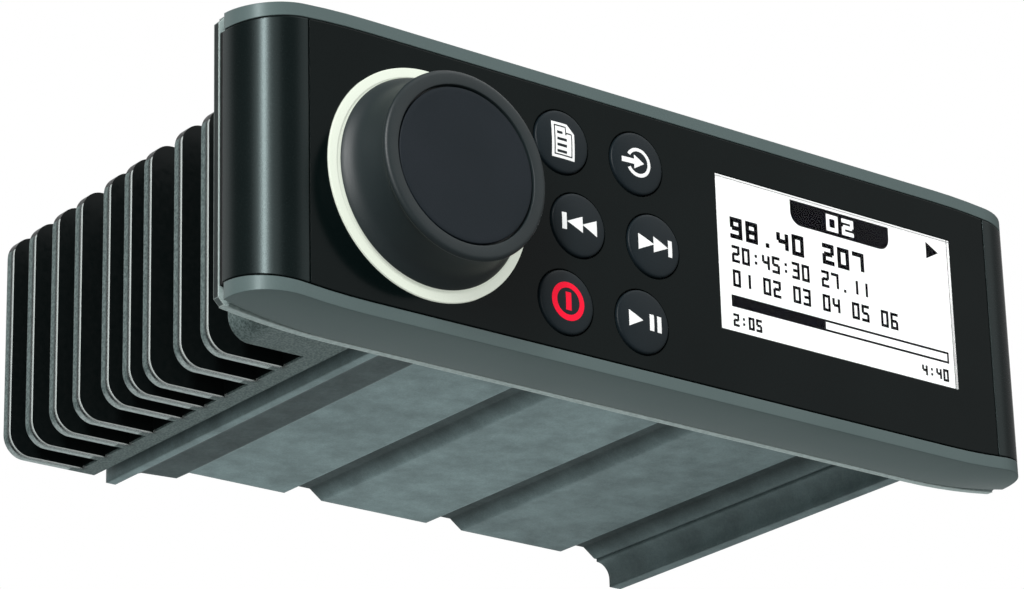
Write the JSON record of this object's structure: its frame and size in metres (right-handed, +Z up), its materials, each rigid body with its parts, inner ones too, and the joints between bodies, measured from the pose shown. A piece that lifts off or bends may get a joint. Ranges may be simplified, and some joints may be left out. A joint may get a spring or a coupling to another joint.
{
  "type": "marine stereo",
  "caption": "Panel-mounted marine stereo: long front with a turn-and-push volume knob, round buttons and a display, and a finned aluminium chassis behind it with rear sockets.",
  "frame": {"origin": "centre of the four mounting holes, on the flange's back face, which lies on the panel", "axes": "+X along the front to its right end as seen from in front, +Y backwards into the panel, +Z up"},
  "size_m": [0.188, 0.1248, 0.0586],
  "materials": {
    "bezel_grey": "satin grey moulding",
    "face_black": "glossy black moulding",
    "clear_window": "clear acrylic window",
    "display_white": "white display with dark segments",
    "ring_pale": "pale light guide",
    "knob_black": "satin black",
    "knob_cap_black": "dark cap",
    "steel": "bright steel",
    "white_plastic": "white moulding",
    "bare_aluminium": "plain",
    "button_black": "satin black with a pale icon",
    "black_rubber": "moulded",
    "circuit_board": "green solder mask",
    "flange_grey": "coated grey, bright edges",
    "coated_aluminium": "dark powder coat",
    "cover_grey": "grey powder coat",
    "brass": "turned",
    "chip_black": "moulded",
    "capacitor_blue": "printed sleeve",
    "copper_wire": "enamelled copper",
    "plated_metal": "plated"
  },
  "bodies": {
    "chassis": {"bezel_frame": "bezel_grey", "front_panel": "face_black", "display_window": "clear_window", "lcd_module": "display_white", "backlight": "display_white", "ring_light": "ring_pale", "ring_leds": "ring_pale", "encoder_body": "bare_aluminium", "encoder_nut": "steel", "keypad_mat": "black_rubber", "front_board": "circuit_board", "panel_screws": "steel", "bezel_gasket": "black_rubber", "flange_plate": "flange_grey", "bezel_screws": "steel", "flange_screws": "steel", "heat_sink": "coated_aluminium", "bottom_cover": "cover_grey", "top_cover": "cover_grey", "right_wall": "cover_grey", "rear_panel": "coated_aluminium", "rear_screws": "steel", "main_board": "circuit_board", "board_standoffs": "brass", "board_screws": "steel", "amplifier_chips": "chip_black", "chip_clamp": "bare_aluminium", "clamp_screws": "steel", "smoothing_capacitors": "capacitor_blue", "power_choke": "copper_wire", "tuner_can": "steel", "processor_chip": "chip_black", "wireless_module": "steel", "board_connector": "white_plastic", "ribbon_cable": "white_plastic", "harness_socket": "white_plastic", "antenna_socket": "plated_metal", "network_socket": "chip_black", "usb_socket": "steel"},
    "rotor": {"encoder_rotor": "white_plastic"},
    "knob": {"volume_knob": "knob_black", "knob_cap": "knob_cap_black", "encoder_shaft": "steel"},
    "menu": {"menu_button": "button_black"},
    "source": {"source_button": "button_black"},
    "back": {"back_button": "button_black"},
    "forward": {"forward_button": "button_black"},
    "power": {"power_button": "button_black"},
    "play": {"play_button": "button_black"},
    "left_cap": {"left_end_cap": "face_black"},
    "right_cap": {"right_end_cap": "face_black"}
  },
  "joints": [
    {"name": "volume_turn", "type": "hinge", "parent": "chassis", "child": "rotor", "pos_m": [-0.0569, -0.0137, -0.00065], "axis": [0, -1, 0], "continuous": true},
    {"name": "volume_push", "type": "slide", "parent": "rotor", "child": "knob", "axis": [0, 1, 0], "range_m": [0, 0.0006], "stiffness_N_per_m": 6000},
    {"name": "menu_press", "type": "slide", "parent": "chassis", "child": "menu", "axis": [0, 1, 0], "range_m": [0, 0.0008], "stiffness_N_per_m": 1500},
    {"name": "source_press", "type": "slide", "parent": "chassis", "child": "source", "axis": [0, 1, 0], "range_m": [0, 0.0008], "stiffness_N_per_m": 1500},
    {"name": "back_press", "type": "slide", "parent": "chassis", "child": "back", "axis": [0, 1, 0], "range_m": [0, 0.0008], "stiffness_N_per_m": 1500},
    {"name": "forward_press", "type": "slide", "parent": "chassis", "child": "forward", "axis": [0, 1, 0], "range_m": [0, 0.0008], "stiffness_N_per_m": 1500},
    {"name": "power_press", "type": "slide", "parent": "chassis", "child": "power", "axis": [0, 1, 0], "range_m": [0, 0.0008], "stiffness_N_per_m": 1500},
    {"name": "play_press", "type": "slide", "parent": "chassis", "child": "play", "axis": [0, 1, 0], "range_m": [0, 0.0008], "stiffness_N_per_m": 1500},
    {"name": "left_cap_pull", "type": "slide", "parent": "chassis", "child": "left_cap", "axis": [0, -1, 0], "range_m": [0, 0.018]},
    {"name": "right_cap_pull", "type": "slide", "parent": "chassis", "child": "right_cap", "axis": [0, -1, 0], "range_m": [0, 0.018]}
  ]
}
